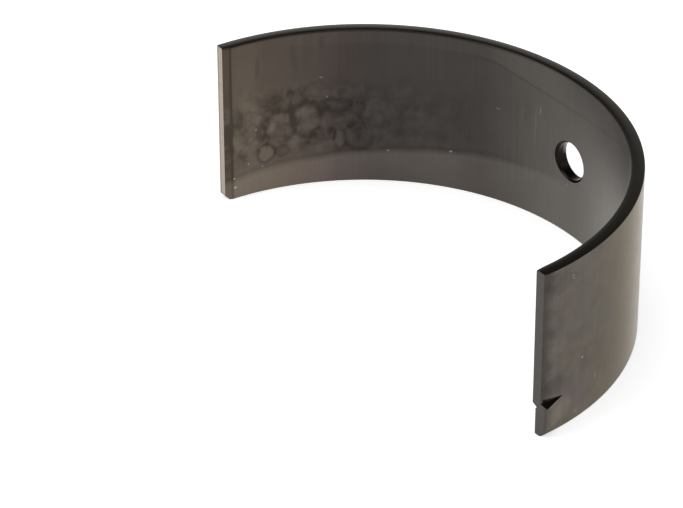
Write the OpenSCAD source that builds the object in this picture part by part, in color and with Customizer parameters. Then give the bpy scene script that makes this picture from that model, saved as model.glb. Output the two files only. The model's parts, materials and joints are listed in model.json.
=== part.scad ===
// Half-shell plain bearing for the big end of an engine connecting rod.
// It is drawn loose, sprung a little wider than the rod bore that it presses into.
// The bearing axis is Z, the crown of the shell points along +Y and z = 0 is mid-length.

/* [Shell] */
// Diameter of the rod bore that the fitted shell seats in
housing_bore_d = 63.5; // [40:0.1:90]
// How much wider than that bore the loose shell springs open
free_spread = 0.9; // [0:0.1:2]
// Thickness of the steel back together with its lining
wall = 1.57; // [1.3:0.01:3]
// Length along the bearing axis
shell_length = 21.4; // [14:0.1:40]
// Angle that the loose shell covers about the bearing axis
arc_span = 176.1; // [120:0.1:179]

/* [Edges] */
// Break on the inner and outer edges of both rims
rim_break = 0.1; // [0.02:0.01:0.3]
// Break on the outer edge of each parting face
parting_break = 0.15; // [0.05:0.01:0.4]
// Length of the shallow relief in the bore beside each parting face
relief_length = 1; // [0.4:0.1:4]
// Depth of that relief at the parting face without a lug
plain_relief_depth = 0.3; // [0.02:0.01:0.5]
// Depth of that relief at the parting face with the lug
lug_relief_depth = 0.1; // [0.02:0.01:0.5]
// Size of the corner that is clipped off the foot of the parting face without a lug
foot_clip = 0.6; // [0.2:0.05:2]

/* [Oil hole] */
// Diameter of the oil hole through the crown
oil_hole_d = 4.9; // [2:0.1:8]
// Distance of the oil hole above mid-length
oil_hole_offset = -0.55; // [-4:0.05:4]
// Break on the inner and outer edges of the oil hole
oil_hole_break = 0.2; // [0.05:0.05:0.5]

/* [Locating lug] */
// Gap between the lower rim and the foot of the lug's sloping underside
lug_edge_gap = 0.2; // [0.15:0.05:6]
// Width of the lug along the bearing axis, where it leaves the back
lug_width = 4.15; // [2:0.05:6]
// Length of the lug's ramp along the back of the shell
lug_length = 3.3; // [2:0.1:6]
// How far the lug stands out of the back at the parting face
lug_projection = 1.05; // [0.5:0.05:1.5]
// How far the lug's sheared upper side leans in over its full height
lug_top_draft = 0.1; // [0.05:0.05:0.6]
// How far the lug's bent underside leans in over its full height
lug_low_draft = 1; // [0.05:0.05:1.5]
// Depth of the struck pocket behind the lug, at the parting face
pocket_depth = 0.6; // [0.2:0.05:0.8]
// Depth of the nick below the pocket's upper wall
pocket_nick = 0.78; // [0.2:0.01:0.95]
// Height of the pocket's upper wall above the lower rim
pocket_height = 3.95; // [1.5:0.05:6]
// How far that wall leans down from the bore to the nick
pocket_lean = 0.3; // [0.05:0.05:0.6]

/* [Hidden] */
$fn = 180;

free_r = (housing_bore_d + free_spread) / 2;
bore_r = free_r - wall;
mid_wall_r = free_r - wall / 2;
half_length = shell_length / 2;
lug_end = 90 - arc_span / 2;
plain_end = 90 + arc_span / 2;
lug_bottom = lug_edge_gap - half_length;
lug_top = lug_bottom + lug_width;
pocket_top = pocket_height - half_length;
// Each cutting shape runs this far past the surface that it cuts
overcut = 1;

// Point at radius r and angle a about the bearing axis
function polar(r, a) = [r * cos(a), r * sin(a)];

// Angle of an arc of the given length at radius r
function arc_angle(length, r) = length / r * 180 / PI;

// Point as far past b as b lies from a, on the line through both
function past(a, b) = 2 * b - a;

// Point a little past b, on the line from a through b
function just_past(a, b) = b + (b - a) / 8;

// Section of the wall, with its four rim edges broken
module wall_section() {
    polygon([
        [bore_r + rim_break, -half_length],
        [free_r - rim_break, -half_length],
        [free_r, rim_break - half_length],
        [free_r, half_length - rim_break],
        [free_r - rim_break, half_length],
        [bore_r + rim_break, half_length],
        [bore_r, half_length - rim_break],
        [bore_r, rim_break - half_length]
    ]);
}

// Plain half-round shell. At the lug's end it runs on past the parting face, which is broached later.
module shell_arc() {
    spare = arc_angle(overcut, free_r);
    rotate([0, 0, lug_end - spare])
        rotate_extrude(angle = arc_span + spare)
            wall_section();
}

// Plan of a wedge cut from the bore side, deepest at the parting face.
// The shell lies at growing angles for side = 1 and at falling angles for side = -1.
module bore_wedge(length, depth, end, side) {
    sweep = side * arc_angle(length, bore_r);
    tip = polar(bore_r, end + sweep);
    root = polar(bore_r + depth, end);
    polygon([just_past(root, tip), past(tip, root), polar(bore_r - overcut, end - sweep)]);
}

// Plan of the corner that breaks the outer edge of a parting face
module back_corner(end, side) {
    sweep = side * arc_angle(parting_break, free_r);
    on_back = polar(free_r, end + sweep);
    on_face = polar(free_r - parting_break, end);
    polygon([past(on_face, on_back), past(on_back, on_face), polar(free_r + overcut, end - sweep)]);
}

// Relief and broken edge along both parting faces
module parting_cuts() {
    faces = [[lug_end, 1, lug_relief_depth], [plain_end, -1, plain_relief_depth]];
    translate([0, 0, -half_length - overcut])
        linear_extrude(shell_length + 2 * overcut)
            for (face = faces) {
                bore_wedge(relief_length, face[2], face[0], face[1]);
                back_corner(face[0], face[1]);
            }
}

// Corner clipped off the foot of the plain parting face, cut straight through the wall
module clipped_foot() {
    on_face = [0, foot_clip];
    on_rim = [-foot_clip, 0];
    rotate([0, 0, plain_end])
        translate([bore_r - overcut, 0, -half_length])
            rotate([90, 0, 90])
                linear_extrude(wall + 2 * overcut)
                    polygon([past(on_rim, on_face), past(on_face, on_rim), [foot_clip, -foot_clip]]);
}

// Oil hole with both edges broken, drilled along +Y through the crown
module oil_hole() {
    flare_h = oil_hole_break + overcut;
    flare_d = oil_hole_d + 2 * flare_h;
    translate([0, 0, oil_hole_offset])
        rotate([-90, 0, 0]) {
            translate([0, 0, bore_r - overcut])
                cylinder(d = oil_hole_d, h = wall + 2 * overcut);
            translate([0, 0, bore_r - overcut])
                cylinder(d1 = flare_d, d2 = oil_hole_d, h = flare_h);
            translate([0, 0, free_r - oil_hole_break])
                cylinder(d1 = oil_hole_d, d2 = flare_d, h = flare_h);
        }
}

// Plan of the lug: a ramp that climbs from within the wall to past the parting face
module lug_plan() {
    tip_angle = lug_end + arc_angle(lug_length, free_r);
    tip = polar(free_r, tip_angle);
    crest = polar(free_r + lug_projection, lug_end);
    polygon([
        just_past(crest, tip),
        just_past(tip, crest),
        just_past(polar(mid_wall_r, tip_angle), polar(mid_wall_r, lug_end)),
        polar(mid_wall_r, tip_angle)
    ]);
}

// Section of the lug across its ramp, with sides that lean in and run past the crest.
// Its first coordinate is the height over the crest.
module lug_section() {
    root = lug_projection + wall / 2;
    over = lug_projection / 4;
    top_lean = lug_top_draft / lug_projection;
    low_lean = lug_low_draft / lug_projection;
    crest_top = lug_top - lug_top_draft;
    crest_low = lug_bottom + lug_low_draft;
    polygon([
        [over, crest_low + over * low_lean],
        [over, crest_top - over * top_lean],
        [-root, crest_top + root * top_lean],
        [-root, crest_low - root * low_lean]
    ]);
}

// Locating lug, struck out of the wall at one parting face. Its section runs along the ramp.
module lug() {
    crest = polar(free_r + lug_projection, lug_end);
    run = polar(free_r, lug_end + arc_angle(lug_length, free_r)) - crest;
    reach = norm(run) + overcut;
    intersection() {
        translate([0, 0, rim_break - half_length])
            linear_extrude(shell_length - 2 * rim_break)
                lug_plan();
        translate([crest[0], crest[1], 0])
            rotate([0, 0, atan2(run[1], run[0]) - 90])
                translate([0, reach, 0])
                    rotate([90, 0, 0])
                        linear_extrude(reach + overcut)
                            lug_section();
    }
}

// Section of the pocket, open to the lower rim and nicked below its leaning upper wall
module pocket_section() {
    wall_step = pocket_lean / pocket_nick * overcut;
    polygon([
        [bore_r - overcut, -half_length - overcut],
        [bore_r + pocket_depth, -half_length - overcut],
        [bore_r + pocket_depth, pocket_top - 2 * pocket_lean],
        [bore_r + pocket_nick, pocket_top - pocket_lean],
        [bore_r - overcut, pocket_top + wall_step]
    ]);
}

// Pocket that the striking tool leaves in the bore behind the lug
module lug_pocket() {
    reach = lug_length + overcut;
    intersection() {
        translate([0, 0, -half_length - overcut])
            linear_extrude(shell_length + 2 * overcut)
                bore_wedge(lug_length, pocket_nick, lug_end, 1);
        rotate([0, 0, lug_end])
            translate([0, reach, 0])
                rotate([90, 0, 0])
                    linear_extrude(2 * reach)
                        pocket_section();
    }
}

// Whatever runs past the parting face that carries the lug, to be broached off in one cut
module lug_end_spare() {
    rotate([0, 0, lug_end])
        translate([bore_r - overcut, -2 * overcut, -half_length - overcut])
            cube([wall + lug_projection + 2 * overcut, 2 * overcut, shell_length + 2 * overcut]);
}

module bearing_shell() {
    color([0.36, 0.34, 0.32])
        difference() {
            union() {
                difference() {
                    shell_arc();
                    parting_cuts();
                    clipped_foot();
                }
                lug();
            }
            oil_hole();
            lug_pocket();
            lug_end_spare();
        }
}

bearing_shell();
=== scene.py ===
"""Models a loose engine bearing shell on its fixed solid and gives it its metal finishes.

It also sets a white studio around the shell, with a camera at the photograph's viewing angle.
"""

import json
import math
from collections import namedtuple

import bmesh
import bpy
from bpy.props import FloatProperty, FloatVectorProperty, IntProperty, PointerProperty
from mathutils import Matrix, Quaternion, Vector


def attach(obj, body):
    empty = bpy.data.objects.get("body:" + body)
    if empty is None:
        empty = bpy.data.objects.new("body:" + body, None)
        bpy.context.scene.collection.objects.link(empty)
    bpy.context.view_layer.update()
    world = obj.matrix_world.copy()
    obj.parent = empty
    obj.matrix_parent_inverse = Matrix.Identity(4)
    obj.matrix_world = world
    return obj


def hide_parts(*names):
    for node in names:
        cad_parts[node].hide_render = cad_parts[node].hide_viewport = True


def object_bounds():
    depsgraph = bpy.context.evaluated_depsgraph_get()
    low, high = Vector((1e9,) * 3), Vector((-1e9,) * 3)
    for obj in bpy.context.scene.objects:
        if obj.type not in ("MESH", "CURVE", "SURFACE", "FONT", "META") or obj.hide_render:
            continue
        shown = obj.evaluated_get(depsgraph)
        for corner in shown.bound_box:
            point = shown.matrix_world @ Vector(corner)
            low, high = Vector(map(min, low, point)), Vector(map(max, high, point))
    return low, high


bl_info = {
    "name": "Engine Bearing Shell",
    "version": (1, 0, 0),
    "blender": (4, 5, 0),
    "location": "3D View > Sidebar > Bearing",
    "description": "Models a half-round engine bearing shell, its metal finishes and a white studio",
    "category": "Object",
}

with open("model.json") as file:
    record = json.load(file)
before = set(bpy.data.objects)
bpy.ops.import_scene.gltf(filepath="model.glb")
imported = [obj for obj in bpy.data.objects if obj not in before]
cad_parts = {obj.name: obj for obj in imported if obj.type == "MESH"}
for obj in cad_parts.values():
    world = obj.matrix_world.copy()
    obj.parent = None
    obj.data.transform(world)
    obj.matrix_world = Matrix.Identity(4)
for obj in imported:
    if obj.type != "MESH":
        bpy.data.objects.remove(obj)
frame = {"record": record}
CAD_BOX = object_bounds()

MM = 0.001
TINY = 1e-6
BODY = "root"
SHELL_NODE = "bearing_shell"
MOUNTS = {mount["name"]: mount for mount in frame["record"]["mounts"]}

# Places of the finishes in the shell's list of materials
OVERLAY, BACK, EDGE, PARTING, HOLE = range(5)
RIM_SEGMENTS = 3
SMOOTH_DEGREES = 35
# Parts of a face's normal past which it looks out of the wall, or up and down
LOOKS_OUT = 0.9
LOOKS_UP = 0.6
# How far past the oil hole's radius its own faces may lie, in widths of its broken edge
HOLE_MARGIN = 1.3

# Values between which most of a noise texture lies, and the turn that hides its own grid
NOISE_LOW = 0.25
NOISE_HIGH = 0.75
NOISE_TURN = (0.5, 0.4, 0.6)

# Soft round marks in millimetres: place around the bearing axis, height over the lower rim, half width and
# half height. Then come the shares of light that the outline and the inside take away, or add below zero.
DROPS = (
    (87.6, 8.75, 1.9, 2.1, 0.26, -0.24), (87.6, 8.75, 1.35, 1.45, 0.2, 0.24),
    (89.6, 5.4, 1.1, 1.2, 0.3, -0.15), (87.5, 5.3, 0.9, 0.8, 0.22, 0.18), (90.2, 8.3, 0.9, 1.6, 0, 0.24),
    (88.4, 11.9, 1.1, 1.2, 0.1, 0.2), (86.4, 13.1, 0.6, 0.9, 0, 0.24), (86.3, 10.9, 0.4, 1.9, 0, 0.18),
    (84.4, 9.3, 1.9, 2.3, 0.3, -0.12), (82.2, 10, 1, 1.1, 0.1, 0.26), (83, 6.3, 1.8, 1, 0, 0.3),
    (79.8, 12.7, 1, 0.7, 0, 0.22), (80, 10.5, 1.5, 1.2, 0.1, 0.2), (80.1, 6.1, 0.75, 1.4, 0.2, -0.2),
    (77.8, 6.4, 1.8, 1.9, 0.26, 0.12), (93.4, 11.2, 0.75, 0.9, 0.16, 0.08), (91.6, 10.8, 0.8, 1, 0.14, 0.08),
    (92, 6.1, 1.1, 1.1, 0.12, 0.1), (82.9, 12.9, 1.7, 1.4, 0.1, -0.02), (81, 6.9, 0.8, 1.3, 0, 0.24),
    (77.6, 10.3, 0.8, 1.7, 0, 0.2), (90.6, 17.4, 0.4, 2, 0, 0.1), (86, 18.6, 0.4, 2, 0, 0.08),
    (85.7, 16.2, 0.4, 2.6, 0, 0.05), (82.3, 20, 0.5, 0.9, 0, 0.14))
BACK_STAINS = (
    (2.6, 6.2, 2, 1.4, 0, 0.22), (3.4, 19.4, 2.8, 1.6, 0, 0.16), (3.4, 11.5, 1, 1.6, 0, -0.1),
    (4.1, 2.6, 1.5, 1.7, 0, -0.32))
# Specks are written in the same way, but their last number is the share of bright metal in them
FACE_SPECKS = (
    (66.1, 5.3, 0.2, 0.16, 0, 0.3), (59.8, 13, 0.4, 0.12, 0, 0.1), (53.5, 14.9, 0.12, 0.6, 0, 0.1),
    (82.4, 15, 0.3, 0.14, 0, 0.14), (81.7, 12.2, 0.16, 0.22, 0, 0.14), (90.9, 9, 0.14, 0.12, 0, 0.3),
    (92, 4.4, 0.16, 0.14, 0, 0.3), (90.1, 3.6, 0.12, 0.14, 0, 0.25), (94, 2.9, 0.18, 0.14, 0, 0.45),
    (93.9, 1.6, 0.22, 0.18, 0, 0.5), (74.1, 4.4, 0.2, 0.12, 0, 0.25), (48.6, 6.7, 0.2, 0.3, 0, 0.08))
BACK_SPECKS = (
    (5.2, 19.6, 0.16, 0.14, 0, 0.2), (5.3, 19.2, 0.16, 0.14, 0, 0.2), (7.2, 7.8, 0.18, 0.16, 0, 0.35),
    (9.8, 3.9, 0.14, 0.5, 0, 0.14), (6.3, 1, 0.3, 0.2, 0, 0.14), (17.5, 15.5, 0.12, 0.4, 0, 0.12))
# Share of a mark's half size at which its inside is full, and width of its outline
MARK_CORE = 0.6
MARK_OUTLINE = 0.3
# Share of a soft line's width within which it is full
LINE_CORE = 0.1

# Soft boxes: place to the right, behind and above the target, width and power
LIGHT_BOXES = {
    "key_box": ((-0.9, -0.3, 0.7), 0.7, 5.0),
    "fill_box": ((0.8, -0.4, 0.7), 0.6, 1.8),
    "top_box": ((0.0, 0.0, 1.1), 0.8, 3.0),
}

SurfacePlace = namedtuple("SurfacePlace", "around up out spread")


def frame_size(mount, key):
    """A mount's stated size, in metres."""
    return MOUNTS[mount]["dims"][key] * MM


def frame_wall():
    """Wall of the shell: the oil hole's mount lies at mid-wall, on the crown."""
    return 2 * (MOUNTS["oil_hole"]["pos_m"][1] - frame_size("journal_bore", "r_mm"))


def frame_lug_end():
    """Angle about the bearing axis of the parting face that carries the lug, in degrees."""
    axis = MOUNTS["lug_parting_face"]["axis"]
    return math.degrees(math.atan2(axis[0], -axis[1]))


def linear_colour(hex_code):
    """An sRGB hex value as the linear colour that shaders take."""
    parts = [int(hex_code[i:i + 2], 16) / 255 for i in (0, 2, 4)]
    return [c / 12.92 if c <= 0.04045 else ((c + 0.055) / 1.055) ** 2.4 for c in parts]


def length_property(name, description, default):
    """A length in metres that a user can change."""
    return FloatProperty(name=name, description=description, default=default, precision=5, unit="LENGTH")


def angle_property(name, description, degrees):
    """An angle that a user can change."""
    return FloatProperty(name=name, description=description, default=math.radians(degrees), subtype="ANGLE")


def level_property(name, description, default):
    """A brightness that a user can change, where 1 is white."""
    return FloatProperty(name=name, description=description, default=default, min=0, max=2)


def colour_property(name, description, hex_code):
    """A colour that a user can change."""
    return FloatVectorProperty(
        name=name, description=description, default=linear_colour(hex_code), size=3, subtype="COLOR",
        min=0, max=1)


class ShellSizes(bpy.types.PropertyGroup):
    """Sizes of the shell. What the frame states is read from it."""

    bore_radius: length_property(
        "Bore radius", "Radius of the running face of the loose shell", frame_size("journal_bore", "r_mm"))
    wall: length_property("Wall", "Thickness of the back and lining together", frame_wall())
    length: length_property("Length", "Length along the bearing axis", CAD_BOX[1][2] - CAD_BOX[0][2])
    lug_end: angle_property("Lug end", "Angle of the parting face that carries the lug", frame_lug_end())
    spin_step: angle_property("Spin step", "Angle between two loops of the shell", 0.5)
    rim_break: length_property("Rim break", "Rounding of the rims' edges", 0.1 * MM)
    parting_break: length_property("Parting break", "Break on the outer edge of a parting face", 0.15 * MM)
    relief_length: length_property("Relief length", "Length of the bore relief beside a parting face", 1 * MM)
    plain_relief: length_property("Plain relief", "Depth of the bore relief at the plain end", 0.3 * MM)
    lug_relief: length_property("Lug relief", "Depth of the bore relief at the lug end", 0.1 * MM)
    foot_clip: length_property("Foot clip", "Corner clipped off the foot of the plain end", 0.6 * MM)
    hole_radius: length_property(
        "Oil hole radius", "Radius of the hole through the crown", frame_size("oil_hole", "r_mm"))
    hole_height: length_property(
        "Oil hole height", "Height of the hole above mid-length", MOUNTS["oil_hole"]["pos_m"][2])
    hole_break: length_property("Oil hole break", "Break on both edges of the hole", 0.2 * MM)
    hole_sides: IntProperty(name="Oil hole sides", description="Sides of the drill", default=96, min=24)
    lug_gap: length_property("Lug gap", "Gap between the lower rim and the foot of the lug", 0.2 * MM)
    lug_width: length_property("Lug width", "Width of the lug's foot along the bearing axis", 4.15 * MM)
    lug_length: length_property("Lug length", "Length of the lug's ramp along the back", 3.3 * MM)
    lug_projection: length_property("Lug projection", "Height of the lug at the parting face", 1.05 * MM)
    lug_top_draft: length_property("Lug top draft", "Lean of the lug's sheared upper side", 0.1 * MM)
    lug_low_draft: length_property("Lug low draft", "Lean of the lug's bent underside", 1 * MM)
    pocket_depth: length_property("Pocket depth", "Depth of the struck pocket at the parting face", 0.6 * MM)
    pocket_nick: length_property("Pocket nick", "Depth of the nick below the pocket's upper wall", 0.78 * MM)
    pocket_height: length_property("Pocket height", "Height of the pocket above the lower rim", 3.95 * MM)
    pocket_lean: length_property("Pocket lean", "Lean of the pocket's upper wall", 0.3 * MM)


class ShellColours(bpy.types.PropertyGroup):
    """Colours of the shell's metals."""

    overlay: colour_property("Overlay", "Plated running face, at its darkest", "3F3B38")
    overlay_plum: colour_property("Overlay plum", "Running face under the dried drops", "4A423F")
    overlay_brown: colour_property("Overlay brown", "Running face toward its plain end", "62594F")
    # The running face past the oil hole is lighter as painted reflected light
    overlay_painted_light: colour_property("Overlay pale", "Running face past the oil hole", "74706B")
    speck: colour_property("Speck", "Bright scratches and specks", "C4BEB2")
    back: colour_property("Back", "Flashed steel back", "53504C")
    back_brown: colour_property("Back brown", "Brown tint of the back", "58524A")
    back_pink: colour_property("Back pink", "Pink tint of the back", "554E4D")
    back_dark: colour_property("Back dark", "Smoked back beside the lug end", "403C39")
    back_glance: colour_property("Back glance", "Tint of the back at a glancing angle", "E6DFD3")
    edge: colour_property("Edge", "Steel layer on the oiled rim", "3F3A31")
    edge_lining: colour_property("Edge lining", "Lining layer on the oiled rim", "3A342D")
    parting_steel: colour_property("Parting steel", "Steel layer on the plain parting face", "7C7A72")
    parting_lining: colour_property("Parting lining", "Lining layer on the plain parting face", "9B9183")
    # The lug's parting face is darker as painted shade
    parting_painted_dark_end: colour_property("Parting dull", "Both layers on the lug's parting face", "494642")
    # The hole's wall is near black as painted shade
    hole_painted_shade: colour_property("Hole wall", "Oiled wall of the hole", "1E1B19")
    # The hole's rubbed patch is a painted glint
    hole_painted_glint: colour_property("Hole rubbed", "Rubbed patch at the hole's outer edge", "9A9182")


class StageSettings(bpy.types.PropertyGroup):
    """Camera, floor and room. The lights stand in LIGHT_BOXES."""

    azimuth: angle_property("Azimuth", "Camera's direction about the bearing axis", 54.62)
    elevation: angle_property("Elevation", "Camera's height above the horizon", 32.04)
    roll: angle_property("Roll", "Camera's turn about its own line of sight", 0.205)
    distance: length_property("Distance", "Distance from the camera to its target on the floor", 431.85 * MM)
    lens: FloatProperty(name="Lens", description="Focal length in millimetres", default=187.83, min=1)
    target_right: length_property(
        "Target right", "Target's place to the camera's right of the axis", -2.646 * MM)
    target_back: length_property("Target back", "Target's place behind the bearing axis", 13.167 * MM)
    floor_size: length_property("Floor size", "Width of the floor", 3.0)
    floor: colour_property("Floor", "White studio floor", "F4F4F4")
    floor_lift: level_property("Floor lift", "White that is added to the floor where it is seen", 0.54)
    room_low: level_property("Room low", "Brightness of the room at the horizon, to the metal", 0.9)
    room_high: level_property("Room high", "Brightness of the room overhead, to the metal", 0.1)
    room_light: level_property("Room light", "Light that the room gives to dull surfaces", 0.35)


def add_node(tree, kind, inputs=None, **settings):
    """Add one shader node, set its properties and fill or link its inputs, by their names or numbers.

    A Map Range has 0 for the value, 1 and 2 for the range it comes from, 3 and 4 for the range it goes to.
    A Mix has 0 for the share, 2 and 3 for two values or 6 and 7 for two colours.
    """
    made = tree.nodes.new(kind)
    for name, value in settings.items():
        setattr(made, name, value)
    for key, value in (inputs or {}).items():
        if isinstance(value, bpy.types.NodeSocket):
            tree.links.new(value, made.inputs[key])
        else:
            made.inputs[key].default_value = value
    return made


def select_verts(test):
    """In edit mode, select only the verts that pass a test."""
    mesh = bpy.context.edit_object.data
    bpy.ops.mesh.select_mode(type="VERT")
    bpy.ops.mesh.select_all(action="DESELECT")
    shape = bmesh.from_edit_mesh(mesh)
    for vert in shape.verts:
        if test(vert):
            vert.select_set(True)
    shape.select_flush_mode()
    bmesh.update_edit_mesh(mesh)


def radius_of(point):
    """Distance of a point from the bearing axis."""
    return math.hypot(point.x, point.y)


def angle_of(point):
    """Angle of a point about the bearing axis."""
    return math.atan2(point.y, point.x)


def polar(radius, angle):
    """Point at a radius and an angle about the bearing axis."""
    return Vector((radius * math.cos(angle), radius * math.sin(angle), 0))


def radius_on_line(start, end, angle):
    """Radius at which a line through two points crosses an angle about the bearing axis."""
    run = end - start
    return start.cross(run).z / polar(1, angle).cross(run).z


def share_of(value, start, end):
    """How far a value lies between two others, from 0 to 1."""
    return min(max((value - start) / (end - start), 0), 1)


class ShellModel:
    """The steps that shape the shell in edit mode."""

    def __init__(self, sizes):
        self.sizes = sizes
        self.bore = sizes.bore_radius
        self.back = sizes.bore_radius + sizes.wall
        self.mid = sizes.bore_radius + sizes.wall / 2
        self.lug_end = sizes.lug_end
        self.plain_end = math.pi - sizes.lug_end
        self.foot = -sizes.length / 2
        self.lug_low = self.foot + sizes.lug_gap
        self.lug_high = self.lug_low + sizes.lug_width
        self.crest_low = self.lug_low + sizes.lug_low_draft
        self.crest_high = self.lug_high - sizes.lug_top_draft
        self.pocket_top = self.foot + sizes.pocket_height
        self.nick = self.pocket_top - sizes.pocket_lean
        self.knee = self.nick - sizes.pocket_lean

    def add_section(self):
        """A plane becomes the wall's section, with rounded rim edges and loops at the lug and its pocket."""
        sizes = self.sizes
        bpy.ops.mesh.primitive_plane_add(size=1, location=(0, 0, 0))
        shell = bpy.context.object
        shell.name = "finished_shell"
        bpy.ops.object.mode_set(mode="EDIT")
        bpy.ops.transform.resize(value=(sizes.wall, sizes.length, 1))
        bpy.ops.mesh.bevel(offset=sizes.rim_break, segments=RIM_SEGMENTS, affect="VERTICES")
        bpy.ops.transform.rotate(value=-math.pi / 2, orient_axis="X", center_override=(0, 0, 0))
        bpy.ops.transform.translate(value=(self.mid, 0, 0))
        bpy.ops.transform.rotate(value=-self.lug_end, orient_axis="Z", center_override=(0, 0, 0))
        for height in (
                self.lug_low, self.crest_low, self.knee, self.nick, self.pocket_top, self.crest_high,
                self.lug_high):
            bpy.ops.mesh.select_all(action="SELECT")
            bpy.ops.mesh.bisect(plane_co=(0, 0, height), plane_no=(0, 0, 1))
        return shell

    def spin_section(self):
        """The section is spun into a half round, with a loop where each end feature starts."""
        sizes = self.sizes
        near = [sizes.parting_break / self.back, sizes.relief_length / self.bore]
        lug = [sizes.lug_length / self.back, sizes.lug_length / self.bore]
        stops = [self.lug_end + sweep for sweep in (0, *near, *lug)]
        clip = sizes.foot_clip / self.mid
        stops += [self.plain_end - sweep for sweep in (*sorted((*near, clip), reverse=True), 0)]
        bpy.ops.mesh.select_all(action="SELECT")
        for start, stop in zip(stops, stops[1:]):
            steps = max(1, round((stop - start) / sizes.spin_step))
            bpy.ops.mesh.spin(steps=steps, angle=start - stop, center=(0, 0, 0), axis=(0, 0, 1))
        self.tidy_mesh()

    def tidy_mesh(self):
        """Verts in one place become one, and all faces look outwards."""
        bpy.ops.mesh.select_all(action="SELECT")
        bpy.ops.mesh.remove_doubles(threshold=TINY)
        bpy.ops.mesh.normals_make_consistent(inside=False)

    def from_end(self, point):
        """Angle between a point and the nearer parting face."""
        angle = angle_of(point)
        return min(angle - self.lug_end, self.plain_end - angle)

    def bore_shift(self, point):
        """How far a point of the bore moves out, into a relief or into the pocket behind the lug."""
        sizes = self.sizes
        from_lug = (angle_of(point) - self.lug_end) * self.bore
        from_plain = (self.plain_end - angle_of(point)) * self.bore
        lug_relief = sizes.lug_relief * (1 - share_of(from_lug, 0, sizes.relief_length))
        plain_relief = sizes.plain_relief * (1 - share_of(from_plain, 0, sizes.relief_length))
        ramp = sizes.pocket_nick * (1 - share_of(from_lug, 0, sizes.lug_length))
        to_nick = sizes.pocket_nick - sizes.pocket_depth
        floor = sizes.pocket_depth + to_nick * share_of(point.z, self.knee, self.nick)
        pocket = floor * (1 - share_of(point.z, self.nick, self.pocket_top))
        return polar(max(lug_relief, plain_relief, min(ramp, pocket)), angle_of(point))

    def back_shift(self, point):
        """How a point of the back moves: in at a broken edge, out on the lug, along at the lug's sides."""
        sizes = self.sizes
        angle = angle_of(point)
        sweep = sizes.lug_length / self.back
        tip = polar(self.back, self.lug_end + sweep)
        crest = polar(self.back + sizes.lug_projection, self.lug_end)
        edge = polar(-sizes.parting_break if self.from_end(point) < TINY else 0, angle)
        if angle > self.lug_end + sweep + TINY:
            return edge
        rise = radius_on_line(tip, crest, angle) - self.back
        sunk = 1 - rise / sizes.lug_projection
        if self.crest_low - TINY < point.z < self.crest_high + TINY:
            return polar(rise, angle)
        if abs(point.z - self.lug_low) < TINY:
            return edge + Vector((0, 0, sizes.lug_low_draft * sunk))
        if abs(point.z - self.lug_high) < TINY:
            return edge - Vector((0, 0, sizes.lug_top_draft * sunk))
        return edge

    def clip_shift(self, point):
        """How far a point near the foot of the plain end moves up, on to the clipped corner."""
        clip = self.sizes.foot_clip
        from_plain = (self.plain_end - angle_of(point)) * self.mid
        lowest = self.foot + clip - from_plain
        return Vector((0, 0, max(lowest - point.z, 0)))

    def shape_ends(self):
        """Both ends get their reliefs and broken edges, one its lug and pocket, one its clipped foot."""
        shape = bmesh.from_edit_mesh(bpy.context.edit_object.data)
        shape.verts.index_update()
        groups = {}
        for vert in shape.verts:
            radius = radius_of(vert.co)
            shift = self.clip_shift(vert.co)
            if radius < self.mid:
                shift += self.bore_shift(vert.co)
            elif radius > self.back - self.sizes.rim_break - TINY:
                shift += self.back_shift(vert.co)
            if shift.length > TINY:
                groups.setdefault(tuple(round(part, 8) for part in shift), set()).add(vert.index)
        for shift, members in groups.items():
            select_verts(lambda vert: vert.index in members)
            bpy.ops.transform.translate(value=shift)
        self.tidy_mesh()

    def drill_oil_hole(self, shell):
        """A drill with a flare at each end cuts the oil hole and breaks both its edges."""
        sizes = self.sizes
        over = 1 * MM
        low = self.bore - over
        high = self.back + over
        flare = sizes.hole_break + over
        wide = 1 + flare / sizes.hole_radius
        bpy.ops.object.select_all(action="DESELECT")
        bpy.ops.mesh.primitive_cylinder_add(
            vertices=sizes.hole_sides, radius=sizes.hole_radius, depth=high - low, location=(0, 0, 0))
        drill = bpy.context.object
        bpy.ops.object.mode_set(mode="EDIT")
        bpy.ops.transform.rotate(value=math.pi / 2, orient_axis="X", center_override=(0, 0, 0))
        bpy.ops.transform.translate(value=(0, (low + high) / 2, sizes.hole_height))
        for depth in (low + flare, high - flare):
            bpy.ops.mesh.select_all(action="SELECT")
            bpy.ops.mesh.bisect(plane_co=(0, depth, 0), plane_no=(0, 1, 0))
        for end in (low, high):
            select_verts(lambda vert: abs(vert.co.y - end) < TINY)
            bpy.ops.transform.resize(
                value=(wide, 1, wide), center_override=(0, end, sizes.hole_height))
        bpy.ops.mesh.select_all(action="SELECT")
        bpy.ops.mesh.normals_make_consistent(inside=False)
        bpy.ops.object.mode_set(mode="OBJECT")
        bpy.ops.object.select_all(action="DESELECT")
        shell.select_set(True)
        bpy.context.view_layer.objects.active = shell
        cut = shell.modifiers.new("Oil hole", "BOOLEAN")
        cut.operation = "DIFFERENCE"
        cut.solver = "EXACT"
        cut.object = drill
        bpy.ops.object.modifier_apply(modifier=cut.name)
        bpy.data.objects.remove(drill)

    def smooth(self, shell):
        """Round faces shade smoothly and flat faces stay flat."""
        bpy.ops.object.shade_smooth_by_angle(angle=math.radians(SMOOTH_DEGREES))
        weight = shell.modifiers.new("Flat faces", "WEIGHTED_NORMAL")
        weight.keep_sharp = True
        bpy.ops.object.modifier_apply(modifier=weight.name)

    def finish_of(self, polygon):
        """Number of the finish that a face carries, from its place and the way it faces."""
        sizes = self.sizes
        middle = polygon.center
        outward = polar(1, angle_of(middle))
        off_hole = math.hypot(middle.x, middle.z - sizes.hole_height)
        hole_reach = sizes.hole_radius + sizes.hole_break * HOLE_MARGIN
        if off_hole < hole_reach and abs(polygon.normal.y) < LOOKS_OUT:
            return HOLE
        if self.from_end(middle) < TINY:
            return PARTING
        on_rim = abs(middle.z) > sizes.length / 2 - sizes.rim_break
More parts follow.
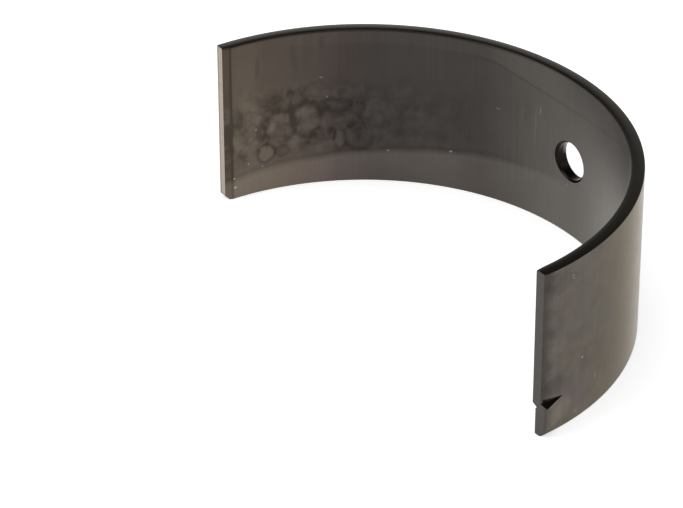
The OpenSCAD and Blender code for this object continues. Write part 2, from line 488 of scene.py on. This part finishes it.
        # The lug's sheared upper side looks up too, and is as dark as the rim
        if polygon.normal.z > LOOKS_UP or polygon.normal.z < -LOOKS_UP and on_rim:
            return EDGE
        return BACK if polygon.normal.dot(outward) > 0 else OVERLAY


def surface_place(tree, sizes):
    """Place on the shell in millimetres: around the bearing axis, up from the lower rim, out from the axis.

    The spread is a point with the first two, as on the shell rolled flat.
    """
    place = add_node(tree, "ShaderNodeTexCoord").outputs["Object"]
    parts = add_node(tree, "ShaderNodeSeparateXYZ", {0: place}).outputs
    angle = add_node(tree, "ShaderNodeMath", {0: parts["Y"], 1: parts["X"]}, operation="ARCTAN2").outputs[0]
    around = add_node(
        tree, "ShaderNodeMath", {0: angle, 1: sizes.bore_radius / MM}, operation="MULTIPLY").outputs[0]
    up = add_node(
        tree, "ShaderNodeMath", {0: parts["Z"], 1: 1 / MM, 2: sizes.length / MM / 2},
        operation="MULTIPLY_ADD").outputs[0]
    flat = add_node(tree, "ShaderNodeCombineXYZ", {0: parts["X"], 1: parts["Y"]}).outputs[0]
    reach = add_node(tree, "ShaderNodeVectorMath", {0: flat}, operation="LENGTH").outputs["Value"]
    out = add_node(tree, "ShaderNodeMath", {0: reach, 1: 1 / MM}, operation="MULTIPLY").outputs[0]
    spread = add_node(tree, "ShaderNodeCombineXYZ", {0: around, 1: up}).outputs[0]
    return SurfacePlace(around, up, out, spread)


def start_metal(name):
    """A metal's material, its node tree and its shader."""
    material = bpy.data.materials.new(name)
    material.use_nodes = True
    tree = material.node_tree
    shader = tree.nodes["Principled BSDF"]
    shader.inputs["Metallic"].default_value = 1
    return material, tree, shader


def drawn_lines(tree, spread, width, length):
    """Lines along the bearing axis, of a width and a length in millimetres.

    The real lines are finer than a pixel, so these are as coarse as they need to be to show.
    """
    place = add_node(tree, "ShaderNodeMapping", {
        "Vector": spread, "Scale": (1 / width, 1 / length, 1)}).outputs[0]
    return add_node(tree, "ShaderNodeTexNoise", {"Vector": place, "Scale": 1, "Detail": 3}).outputs[0]


def soft_patches(tree, spread, size, seed):
    """Cloudy patches of a size in millimetres. The seed shifts them."""
    place = add_node(tree, "ShaderNodeMapping", {
        "Vector": spread, "Location": (seed, seed, 0), "Rotation": NOISE_TURN,
        "Scale": (1 / size, 1 / size, 1)}).outputs[0]
    return add_node(tree, "ShaderNodeTexNoise", {"Vector": place, "Scale": 1, "Detail": 4}).outputs[0]


def wander(tree, spread, size, reach):
    """The place on the shell, moved about so that outlines wander by a reach, both in millimetres."""
    drift = add_node(tree, "ShaderNodeTexNoise", {
        "Vector": spread, "Scale": 1 / size, "Detail": 2}).outputs["Color"]
    centred = add_node(
        tree, "ShaderNodeVectorMath", {0: drift, 1: (0.5, 0.5, 0.5)}, operation="SUBTRACT").outputs[0]
    shift = add_node(
        tree, "ShaderNodeVectorMath", {0: centred, 1: (2 * reach, 2 * reach, 0)},
        operation="MULTIPLY").outputs[0]
    return add_node(tree, "ShaderNodeVectorMath", {0: spread, 1: shift}, operation="ADD").outputs[0]


def near_line(tree, value, line, width, strength):
    """A soft line where a value comes near another, down to nothing at a width from it."""
    off = add_node(tree, "ShaderNodeMath", {0: value, 1: line}, operation="SUBTRACT").outputs[0]
    off = add_node(tree, "ShaderNodeMath", {0: off}, operation="ABSOLUTE").outputs[0]
    return add_node(tree, "ShaderNodeMapRange", {
        0: off, 1: width, 2: LINE_CORE * width, 3: 0, 4: strength}).outputs[0]


def marks(tree, place, entries):
    """Sum of soft round marks on the shell, each with its own outline and inside."""
    total = 0
    for around, up, wide, tall, outline, inside in entries:
        own = add_node(tree, "ShaderNodeMapping", {
            "Vector": place, "Location": (around, up, 0), "Scale": (wide, tall, 1)},
            vector_type="TEXTURE").outputs[0]
        off = add_node(tree, "ShaderNodeVectorMath", {0: own}, operation="LENGTH").outputs["Value"]
        fill = add_node(tree, "ShaderNodeMapRange", {0: off, 1: 1, 2: MARK_CORE, 3: 0, 4: inside}).outputs[0]
        total = add_node(tree, "ShaderNodeMath", {0: total, 1: fill}).outputs[0]
        if outline:
            line = near_line(tree, off, 1, MARK_OUTLINE, outline)
            total = add_node(tree, "ShaderNodeMath", {0: total, 1: line}).outputs[0]
    return total


def limited(tree, pattern, *limits):
    """A pattern that fades out past limits.

    Each limit is a value in millimetres, where the pattern is gone and where it is whole.
    """
    for value, gone, whole in limits:
        share = add_node(tree, "ShaderNodeMapRange", {0: value, 1: gone, 2: whole}).outputs[0]
        pattern = add_node(tree, "ShaderNodeMath", {0: pattern, 1: share}, operation="MULTIPLY").outputs[0]
    return pattern


def tinted(tree, colour, pattern, share):
    """A colour made darker and lighter by a pattern, by a share of itself either way."""
    level = add_node(tree, "ShaderNodeMapRange", {
        0: pattern, 1: NOISE_LOW, 2: NOISE_HIGH, 3: 1 - share, 4: 1 + share}).outputs[0]
    return add_node(
        tree, "ShaderNodeVectorMath", {0: colour, "Scale": level}, operation="SCALE").outputs[0]


def drop_stains(tree, at):
    """Dried drops toward the plain end of the running face, with mottles and fine cells between them."""
    palest_mottle = -0.18
    darkest_mottle = 0.3
    cell_size = 1.5
    cell_line = 0.1
    place = wander(tree, at.spread, size=1.6, reach=0.27)
    drops = marks(tree, place, DROPS)
    mottle = add_node(tree, "ShaderNodeMapRange", {
        0: soft_patches(tree, place, size=1.7, seed=41), 1: 0.35, 2: 0.65, 3: palest_mottle,
        4: darkest_mottle}).outputs[0]
    mottle = limited(tree, mottle, (at.around, 60, 80), (at.up, 3.5, 6), (at.up, 16, 11))
    gap = add_node(
        tree, "ShaderNodeTexVoronoi", {"Vector": place, "Scale": 1 / cell_size},
        feature="DISTANCE_TO_EDGE").outputs["Distance"]
    cells = add_node(tree, "ShaderNodeMapRange", {0: gap, 1: 0.2, 2: 0.02, 3: 0, 4: cell_line}).outputs[0]
    cells = limited(tree, cells, (at.around, 62, 76), (at.up, 4, 6), (at.up, 15, 12))
    return [drops, mottle, cells]


def tide_mark_and_painted_reflection(tree, at):
    """A tide mark that climbs from the plain end toward the crown, with painted reflected light of the floor
    below it.
    """
    slope = -0.092
    height_at_lug_end = 10.75
    ripple = 0.9
    paleness = -0.85
    clouds = soft_patches(tree, at.spread, size=5, seed=3)
    mark = add_node(
        tree, "ShaderNodeMath", {0: at.around, 1: slope, 2: height_at_lug_end},
        operation="MULTIPLY_ADD").outputs[0]
    mark = add_node(
        tree, "ShaderNodeMath", {0: clouds, 1: ripple, 2: mark}, operation="MULTIPLY_ADD").outputs[0]
    above = add_node(tree, "ShaderNodeMath", {0: at.up, 1: mark}, operation="SUBTRACT").outputs[0]
    # Below the tide mark the running face is lighter, as painted reflection of the floor
    painted_floor_reflection = add_node(tree, "ShaderNodeMapRange", {0: above, 1: 0.35, 2: -0.45, 3: 0, 4: paleness}).outputs[0]
    painted_floor_reflection = limited(tree, painted_floor_reflection, (at.around, 46, 68), (at.around, 110, 70))
    tide_line = near_line(tree, above, line=0.5, width=0.4, strength=0.12)
    tide_line = limited(tree, tide_line, (at.around, 52, 66))
    return [painted_floor_reflection, tide_line]


def sag_stains(tree, at):
    """A second mark that sags below the upper rim over the oil hole, with a paler band above it."""
    middle = 48
    curve = 0.0125
    lowest = 17.35
    highest = 19.3
    paleness = -0.12
    sag = add_node(tree, "ShaderNodeMath", {0: at.around, 1: middle}, operation="SUBTRACT").outputs[0]
    sag = add_node(tree, "ShaderNodeMath", {0: sag, 1: 2}, operation="POWER").outputs[0]
    mark = add_node(
        tree, "ShaderNodeMath", {0: sag, 1: curve, 2: lowest}, operation="MULTIPLY_ADD").outputs[0]
    mark = add_node(tree, "ShaderNodeMath", {0: mark, 1: highest}, operation="MINIMUM").outputs[0]
    above = add_node(tree, "ShaderNodeMath", {0: at.up, 1: mark}, operation="SUBTRACT").outputs[0]
    sag_line = near_line(tree, above, line=0, width=0.3, strength=0.14)
    sag_line = limited(tree, sag_line, (at.around, 66, 61))
    band = add_node(tree, "ShaderNodeMapRange", {0: above, 1: 0, 2: 0.5, 3: 0, 4: paleness}).outputs[0]
    band = limited(tree, band, (at.around, 50, 60), (at.around, 92, 80))
    return [sag_line, band]


def scratches_and_painted_light(tree, at, sizes):
    """Scratches beside the oil hole, with painted reflected light low past it, darker metal over the drops,
    and painted shade in the bore relief, along its edge and along the upper edge.
    """
    top = sizes.length / MM
    relief = (math.pi - sizes.lug_end) * sizes.bore_radius / MM - sizes.relief_length / MM
    scratches = add_node(tree, "ShaderNodeMapRange", {
        0: drawn_lines(tree, at.spread, width=0.22, length=9), 1: 0.52, 2: 0.72, 3: 0, 4: -0.3}).outputs[0]
    scratches = limited(
        tree, scratches, (at.around, 51, 53.5), (at.around, 58, 55.5), (at.up, 4, 7), (at.up, 17, 14))
    # Painted reflected light, low on the running face past the oil hole
    painted_light_past_hole = limited(tree, -0.2, (at.around, 47, 40), (at.up, 16, 8))
    dusk_over_drops = limited(tree, 0.12, (at.around, 74, 82), (at.around, 91.2, 90.2), (at.up, 8, 12))
    # Painted shade in the bore relief and along its edge
    painted_shade_in_relief = limited(tree, 0.35, (at.around, relief - 0.15, relief + 0.05))
    painted_shade_relief_line = near_line(tree, at.around, relief, width=0.3, strength=0.25)
    # Painted shade along the upper edge of the running face
    painted_shade_upper_edge = limited(tree, 0.55, (at.up, top - 0.3, top - 0.1))
    return [painted_light_past_hole, dusk_over_drops, scratches, painted_shade_in_relief, painted_shade_relief_line, painted_shade_upper_edge]


def overlay_shade(tree, at, sizes):
    """Share of light that marks and painted shade take away from the running face. Below zero they add light,
    partly painted reflected light.
    """
    darkest = 0.55
    shade = 0
    # Besides stains, these parts hold painted reflected light below the tide mark
    stains = drop_stains(tree, at) + tide_mark_and_painted_reflection(tree, at) + sag_stains(tree, at)
    for part in stains + scratches_and_painted_light(tree, at, sizes):
        shade = add_node(tree, "ShaderNodeMath", {0: shade, 1: part}).outputs[0]
    return add_node(tree, "ShaderNodeMath", {0: shade, 1: darkest}, operation="MINIMUM").outputs[0]


def make_overlay(colours, sizes):
    """Plated lining, tarnished: satin grey, browner at one end, with tide marks and dried drops, painted
    reflected light toward the lug end and painted shade in the bore relief and along the upper edge.
    """
    material, tree, shader = start_metal("tarnished_overlay_plate")
    at = surface_place(tree, sizes)
    lines = drawn_lines(tree, at.spread, width=0.3, length=14)
    clouds = soft_patches(tree, at.spread, size=7, seed=3)
    plum = add_node(tree, "ShaderNodeMapRange", {0: at.around, 1: 75, 2: 82}).outputs[0]
    brown = add_node(tree, "ShaderNodeMapRange", {0: at.around, 1: 80, 2: 92}).outputs[0]
    # Lighter toward the lug end, as painted reflected light
    pale = add_node(tree, "ShaderNodeMapRange", {0: at.around, 1: 62, 2: 33}).outputs[0]
    colour = add_node(tree, "ShaderNodeMix", {
        0: plum, 6: (*colours.overlay, 1), 7: (*colours.overlay_plum, 1)}, data_type="RGBA").outputs[2]
    colour = add_node(tree, "ShaderNodeMix", {
        0: brown, 6: colour, 7: (*colours.overlay_brown, 1)}, data_type="RGBA").outputs[2]
    colour = add_node(tree, "ShaderNodeMix", {
        0: pale, 6: colour, 7: (*colours.overlay_painted_light, 1)}, data_type="RGBA").outputs[2]
    level = add_node(
        tree, "ShaderNodeMath", {0: 1, 1: overlay_shade(tree, at, sizes)}, operation="SUBTRACT").outputs[0]
    colour = add_node(
        tree, "ShaderNodeVectorMath", {0: colour, "Scale": level}, operation="SCALE").outputs[0]
    colour = tinted(tree, colour, clouds, share=0.12)
    colour = tinted(tree, colour, lines, share=0.05)
    colour = add_node(tree, "ShaderNodeMix", {
        0: marks(tree, at.spread, FACE_SPECKS), 6: colour, 7: (*colours.speck, 1)},
        data_type="RGBA").outputs[2]
    rough = add_node(tree, "ShaderNodeMapRange", {
        0: clouds, 1: NOISE_LOW, 2: NOISE_HIGH, 3: 0.36, 4: 0.46}).outputs[0]
    bump = add_node(tree, "ShaderNodeBump", {"Height": lines, "Distance": 0.0015 * MM}).outputs[0]
    tree.links.new(colour, shader.inputs["Base Color"])
    tree.links.new(rough, shader.inputs["Roughness"])
    tree.links.new(bump, shader.inputs["Normal"])
    return material


def back_level(tree, at, sizes):
    """Brightness of the back: more on the rubbed lug and near the lower rim, less where it is stained."""
    back = (sizes.bore_radius + sizes.wall) / MM
    crest = back + sizes.lug_projection / MM
    rubbed = add_node(tree, "ShaderNodeMapRange", {
        0: at.out, 1: back + 0.1, 2: crest, 3: 0, 4: 0.12}).outputs[0]
    low = add_node(tree, "ShaderNodeMapRange", {0: at.up, 1: 6, 2: 1, 3: 1, 4: 1.32}).outputs[0]
    level = add_node(tree, "ShaderNodeMath", {0: rubbed, 1: low}).outputs[0]
    stains = marks(tree, wander(tree, at.spread, size=2, reach=0.6), BACK_STAINS)
    crown_dusk = limited(tree, 0.14, (at.around, 8, 17))
    stains = add_node(tree, "ShaderNodeMath", {0: stains, 1: crown_dusk}).outputs[0]
    return add_node(tree, "ShaderNodeMath", {0: level, 1: stains}, operation="SUBTRACT").outputs[0]


def make_back(colours, sizes):
    """Tin-flashed steel back: satin grey drawn along the axis, tinted brown and pink, under a film of oil."""
    material, tree, shader = start_metal("tin_flashed_steel")
    at = surface_place(tree, sizes)
    lines = drawn_lines(tree, at.spread, width=0.35, length=22)
    brown = add_node(tree, "ShaderNodeMapRange", {
        0: soft_patches(tree, at.spread, size=4, seed=11), 1: 0.4, 2: 0.7}).outputs[0]
    pink = add_node(tree, "ShaderNodeMapRange", {
        0: soft_patches(tree, at.spread, size=5, seed=27), 1: 0.4, 2: 0.7}).outputs[0]
    clouds = soft_patches(tree, at.spread, size=1.8, seed=5)
    ragged = add_node(
        tree, "ShaderNodeMath", {0: clouds, 1: 1.5, 2: at.around}, operation="MULTIPLY_ADD").outputs[0]
    smoked = add_node(tree, "ShaderNodeMapRange", {0: ragged, 1: 3.4, 2: 2.2}).outputs[0]
    colour = add_node(tree, "ShaderNodeMix", {
        0: brown, 6: (*colours.back, 1), 7: (*colours.back_brown, 1)}, data_type="RGBA").outputs[2]
    colour = add_node(tree, "ShaderNodeMix", {
        0: pink, 6: colour, 7: (*colours.back_pink, 1)}, data_type="RGBA").outputs[2]
    colour = add_node(tree, "ShaderNodeMix", {
        0: smoked, 6: colour, 7: (*colours.back_dark, 1)}, data_type="RGBA").outputs[2]
    colour = add_node(
        tree, "ShaderNodeVectorMath", {0: colour, "Scale": back_level(tree, at, sizes)},
        operation="SCALE").outputs[0]
    colour = tinted(tree, colour, clouds, share=0.14)
    colour = tinted(tree, colour, lines, share=0.07)
    colour = add_node(tree, "ShaderNodeMix", {
        0: marks(tree, at.spread, BACK_SPECKS), 6: colour, 7: (*colours.speck, 1)},
        data_type="RGBA").outputs[2]
    rough = add_node(tree, "ShaderNodeMapRange", {
        0: clouds, 1: NOISE_LOW, 2: NOISE_HIGH, 3: 0.2, 4: 0.26}).outputs[0]
    bump = add_node(tree, "ShaderNodeBump", {"Height": lines, "Distance": 0.003 * MM}).outputs[0]
    tree.links.new(colour, shader.inputs["Base Color"])
    tree.links.new(rough, shader.inputs["Roughness"])
    tree.links.new(bump, shader.inputs["Normal"])
    shader.inputs["Specular Tint"].default_value = (*colours.back_glance, 1)
    shader.inputs["Coat Weight"].default_value = 0.1
    shader.inputs["Coat Roughness"].default_value = 0.1
    return material


def make_edge(colours, sizes):
    """Turned strip edge, dark with oil. Its steel layer leans out, so that only the far rim catches light."""
    material, tree, shader = start_metal("turned_strip_edge")
    at = surface_place(tree, sizes)
    # The seam is a share of the half wall from mid-wall, and the lean is over the steel layer
    seam = -0.42
    lean = 0.076 * MM
    turning_width = 0.12
    middle = (sizes.bore_radius + sizes.wall / 2) / MM
    off = add_node(tree, "ShaderNodeMath", {0: at.out, 1: middle}, operation="SUBTRACT").outputs[0]
    share = add_node(tree, "ShaderNodeMath", {0: off, 1: sizes.wall / 2 / MM}, operation="DIVIDE").outputs[0]
    slope = add_node(tree, "ShaderNodeMapRange", {0: share, 1: seam, 2: 1, 3: 1, 4: 0}).outputs[0]
    bump = add_node(tree, "ShaderNodeBump", {"Height": slope, "Distance": lean}).outputs[0]
    turning = add_node(tree, "ShaderNodeTexNoise", {"Vector": at.out, "Scale": 1 / turning_width}).outputs[0]
    layer = add_node(tree, "ShaderNodeMapRange", {0: share, 1: seam, 2: 0}).outputs[0]
    colour = add_node(tree, "ShaderNodeMix", {
        0: layer, 6: (*colours.edge_lining, 1), 7: (*colours.edge, 1)}, data_type="RGBA").outputs[2]
    tree.links.new(tinted(tree, colour, turning, share=0.15), shader.inputs["Base Color"])
    tree.links.new(bump, shader.inputs["Normal"])
    shader.inputs["Roughness"].default_value = 0.25
    return material


def make_parting(colours, sizes):
    """Broached parting face: pale lining inside and grey steel outside, both darkened at the lug's end as
    painted shade.
    """
    material, tree, shader = start_metal("broached_strip")
    at = surface_place(tree, sizes)
    # Share of the wall that is pale, from the bore out
    pale_share = 0.72
    half_blend = 0.08
    # The broach marks are drawn coarser than the real ones, so that they show
    broach_width = 0.5
    crest_level = 0.76
    seam = (sizes.bore_radius + pale_share * sizes.wall) / MM
    layer = add_node(tree, "ShaderNodeMapRange", {
        0: at.out, 1: seam - half_blend, 2: seam + half_blend}).outputs[0]
    crown = math.pi / 2 * sizes.bore_radius / MM
    # The parting face at the lug's end is darkened as painted shade
    painted_dark_end = add_node(tree, "ShaderNodeMath", {0: at.around, 1: crown}, operation="LESS_THAN").outputs[0]
    colour = add_node(tree, "ShaderNodeMix", {
        0: layer, 6: (*colours.parting_lining, 1), 7: (*colours.parting_steel, 1)},
        data_type="RGBA").outputs[2]
    colour = add_node(tree, "ShaderNodeMix", {
        0: painted_dark_end, 6: colour, 7: (*colours.parting_painted_dark_end, 1)}, data_type="RGBA").outputs[2]
    # The parting face is darker near the lug's crest
    crest = (sizes.bore_radius + sizes.wall + sizes.lug_projection) / MM
    level = add_node(tree, "ShaderNodeMapRange", {
        0: at.out, 1: crest - 0.65, 2: crest - 0.45, 3: 1, 4: crest_level}).outputs[0]
    colour = add_node(
        tree, "ShaderNodeVectorMath", {0: colour, "Scale": level}, operation="SCALE").outputs[0]
    across = add_node(tree, "ShaderNodeTexNoise", {
        "Vector": at.up, "Scale": 1 / broach_width, "Detail": 3}).outputs[0]
    tree.links.new(tinted(tree, colour, across, share=0.12), shader.inputs["Base Color"])
    shader.inputs["Roughness"].default_value = 0.35
    return material


def make_hole(colours, sizes):
    """Drilled wall, near black as painted shade, with a painted glint on one side near the outer edge."""
    material, tree, shader = start_metal("oiled_drilled_steel")
    at = surface_place(tree, sizes)
    crown = math.pi / 2 * sizes.bore_radius / MM
    back = (sizes.bore_radius + sizes.wall) / MM
    level = (sizes.hole_height + sizes.length / 2) / MM
    # A painted glint on the hole's wall near its outer edge
    patch = limited(
        tree, 1, (at.out, back - 0.7, back - 0.3), (at.up, level - 0.4, level + 1),
        (at.around, crown + 0.3, crown + 1.2))
    colour = add_node(tree, "ShaderNodeMix", {
        0: patch, 6: (*colours.hole_painted_shade, 1), 7: (*colours.hole_painted_glint, 1)}, data_type="RGBA").outputs[2]
    tree.links.new(colour, shader.inputs["Base Color"])
    shader.inputs["Roughness"].default_value = 0.3
    return material


class BEARING_OT_add_shell(bpy.types.Operator):
    """Model the shell and give its faces their metal finishes"""

    bl_idname = "bearing.add_shell"
    bl_label = "Add Bearing Shell"

    def execute(self, context):
        sizes = context.scene.bearing_sizes
        colours = context.scene.bearing_colours
        bpy.ops.object.select_all(action="DESELECT")
        model = ShellModel(sizes)
        shell = model.add_section()
        model.spin_section()
        model.shape_ends()
        bpy.ops.object.mode_set(mode="OBJECT")
        model.drill_oil_hole(shell)
        model.smooth(shell)
        # In the order of OVERLAY, BACK, EDGE, PARTING and HOLE
        for make in (make_overlay, make_back, make_edge, make_parting, make_hole):
            shell.data.materials.append(make(colours, sizes))
        for polygon in shell.data.polygons:
            polygon.material_index = model.finish_of(polygon)
        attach(shell, BODY)
        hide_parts(SHELL_NODE)
        return {"FINISHED"}


class BEARING_OT_add_stage(bpy.types.Operator):
    """Set the floor, the soft lights, the white surround and the camera"""

    bl_idname = "bearing.add_stage"
    bl_label = "Add Studio"

    def execute(self, context):
        stage = context.scene.bearing_stage
        floor_level = CAD_BOX[0][2]
        right = Vector((math.cos(stage.azimuth), math.sin(stage.azimuth), 0))
        back = Vector((-math.sin(stage.azimuth), math.cos(stage.azimuth), 0))
        target = stage.target_right * right + stage.target_back * back + Vector((0, 0, floor_level))
        self.add_floor(stage, floor_level)
        self.add_lights(right, back, target)
        self.add_world(context, stage)
        self.add_camera(context, stage, back, target)
        context.scene.view_settings.view_transform = "Standard"
        return {"FINISHED"}

    def add_floor(self, stage, level):
        """A large white floor under the part. Where it is seen it is a little whiter, as in a lit studio."""
        bpy.ops.object.select_all(action="DESELECT")
        bpy.ops.mesh.primitive_plane_add(size=stage.floor_size, location=(0, 0, level))
        floor = bpy.context.object
        floor.name = "studio_floor"
        material = bpy.data.materials.new("matt_white_board")
        material.use_nodes = True
        tree = material.node_tree
        shader = tree.nodes["Principled BSDF"]
        shader.inputs["Base Color"].default_value = (*stage.floor, 1)
        shader.inputs["Roughness"].default_value = 0.9
        shader.inputs["Specular IOR Level"].default_value = 0
        path = add_node(tree, "ShaderNodeLightPath").outputs
        seen = path["Is Camera Ray"]
        for ray in ("Is Glossy Ray", "Is Transmission Ray"):
            seen = add_node(tree, "ShaderNodeMath", {0: seen, 1: path[ray]}, operation="MAXIMUM").outputs[0]
        lift = add_node(
            tree, "ShaderNodeMath", {0: seen, 1: stage.floor_lift}, operation="MULTIPLY").outputs[0]
        shader.inputs["Emission Color"].default_value = (1, 1, 1, 1)
        tree.links.new(lift, shader.inputs["Emission Strength"])
        floor.data.materials.append(material)

    def add_lights(self, right, back, target):
        """Soft boxes around the target, all turned toward it."""
        for name, (place, width, power) in LIGHT_BOXES.items():
            spot = target + place[0] * right + place[1] * back + Vector((0, 0, place[2]))
            bpy.ops.object.light_add(type="AREA", location=spot)
            box = bpy.context.object
            box.name = name
            box.data.size = width
            box.data.energy = power
            box.rotation_euler = (target - spot).to_track_quat("-Z", "Y").to_euler()

    def add_world(self, context, stage):
        """White to the camera, and to the metal a room that is white at the horizon and darker overhead."""
        # Upward part of a direction past which the room is at its darkest
        overhead = 0.7
        world = bpy.data.worlds.new("studio_room")
        context.scene.world = world
        world.use_nodes = True
        tree = world.node_tree
        path = add_node(tree, "ShaderNodeLightPath").outputs
        toward = add_node(tree, "ShaderNodeTexCoord").outputs["Generated"]
        height = add_node(tree, "ShaderNodeSeparateXYZ", {0: toward}).outputs["Z"]
        room = add_node(tree, "ShaderNodeMapRange", {
            0: height, 1: 0, 2: overhead, 3: stage.room_low, 4: stage.room_high},
            interpolation_type="SMOOTHSTEP").outputs[0]
        level = add_node(tree, "ShaderNodeMix", {
            0: path["Is Glossy Ray"], 2: stage.room_light, 3: room}).outputs[0]
        level = add_node(tree, "ShaderNodeMix", {0: path["Is Camera Ray"], 2: level, 3: 1.0}).outputs[0]
        shader = tree.nodes["Background"]
        shader.inputs["Color"].default_value = (1, 1, 1, 1)
        tree.links.new(level, shader.inputs["Strength"])

    def add_camera(self, context, stage, back, target):
        """The photograph's view: from the front, above and a little rolled."""
        sight = -back * math.cos(stage.elevation) + Vector((0, 0, math.sin(stage.elevation)))
        bpy.ops.object.camera_add(location=target + stage.distance * sight)
        camera = bpy.context.object
        camera.name = "photo_camera"
        camera.data.lens = stage.lens
        camera.data.clip_start = 0.01
        turn = (-sight).to_track_quat("-Z", "Y") @ Quaternion((0, 0, 1), -stage.roll)
        camera.rotation_euler = turn.to_euler()
        context.scene.camera = camera


class BEARING_PT_panel(bpy.types.Panel):
    """Sizes, colours and stage of the bearing shell"""

    bl_label = "Engine Bearing Shell"
    bl_idname = "BEARING_PT_panel"
    bl_space_type = "VIEW_3D"
    bl_region_type = "UI"
    bl_category = "Bearing"

    def draw(self, context):
        layout = self.layout
        for title, group in (
                ("Sizes", context.scene.bearing_sizes),
                ("Colours", context.scene.bearing_colours),
                ("Studio", context.scene.bearing_stage)):
            box = layout.box()
            box.label(text=title)
            for name in group.__annotations__:
                box.prop(group, name)
        layout.operator(BEARING_OT_add_shell.bl_idname)
        layout.operator(BEARING_OT_add_stage.bl_idname)


CLASSES = (
    ShellSizes, ShellColours, StageSettings, BEARING_OT_add_shell, BEARING_OT_add_stage, BEARING_PT_panel)


def register():
    for cls in CLASSES:
        bpy.utils.register_class(cls)
    bpy.types.Scene.bearing_sizes = PointerProperty(type=ShellSizes)
    bpy.types.Scene.bearing_colours = PointerProperty(type=ShellColours)
    bpy.types.Scene.bearing_stage = PointerProperty(type=StageSettings)


def unregister():
    del bpy.types.Scene.bearing_stage
    del bpy.types.Scene.bearing_colours
    del bpy.types.Scene.bearing_sizes
    for cls in reversed(CLASSES):
        bpy.utils.unregister_class(cls)


def main():
    register()
    bpy.ops.bearing.add_shell()
    bpy.ops.bearing.add_stage()


if __name__ == "__main__":
    main()
